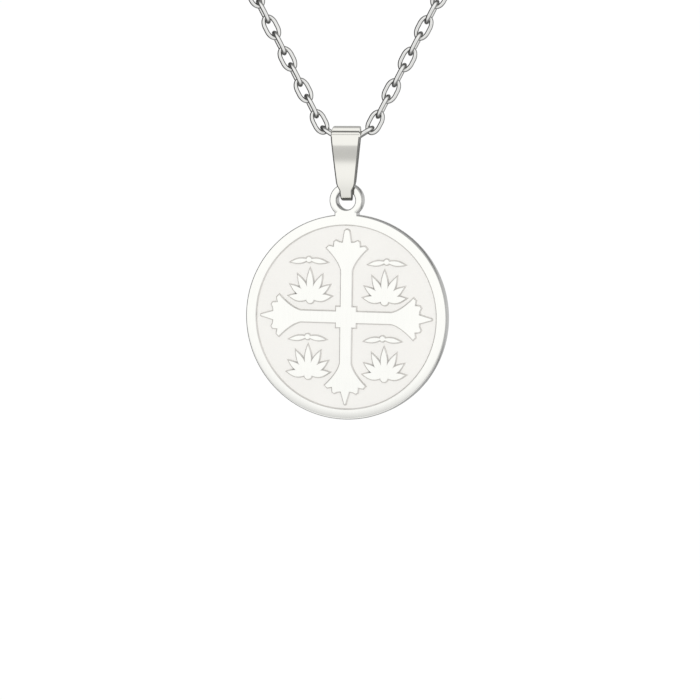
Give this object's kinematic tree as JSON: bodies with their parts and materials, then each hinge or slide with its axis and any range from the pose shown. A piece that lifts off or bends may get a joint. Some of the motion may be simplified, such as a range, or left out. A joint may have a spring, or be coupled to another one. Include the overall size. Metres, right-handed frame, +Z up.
{
  "type": "cross pendant necklace",
  "caption": "Round steel medallion with a raised rim and flared cross, hanging by a tapered bail on a closed cable chain with jump rings, clasp and extender.",
  "frame": {"origin": "middle of the clasp at the back of the chain, where the necklace rests on the nape of the neck", "axes": "+Z up, the medallion's face looks to -Y, the wearer's left is at +X"},
  "size_m": [0.1106, 0.111, 0.1422],
  "materials": {
    "medallion_steel": "polished rim and relief over a fine matt field",
    "bail_steel": "polished",
    "chain_steel": "polished",
    "ring_steel": "polished",
    "clasp_steel": "satin",
    "extender_steel": "polished"
  },
  "bodies": {
    "chain": {"chain_front": "chain_steel", "chain_sides": "chain_steel", "ring_left": "ring_steel", "ring_right": "ring_steel", "clasp": "clasp_steel", "extender": "extender_steel"},
    "bail": {"bail": "bail_steel"},
    "medallion": {"medallion": "medallion_steel"}
  },
  "joints": [
    {"name": "bail_swing", "type": "hinge", "parent": "chain", "child": "bail", "pos_m": [0, -0.106, -0.11405], "axis": [1, 0, 0], "range_deg": [-75, 75]},
    {"name": "medallion_swing", "type": "hinge", "parent": "bail", "child": "medallion", "pos_m": [0, -0.106, -0.11795], "axis": [1, 0, 0], "range_deg": [-35, 35]}
  ]
}
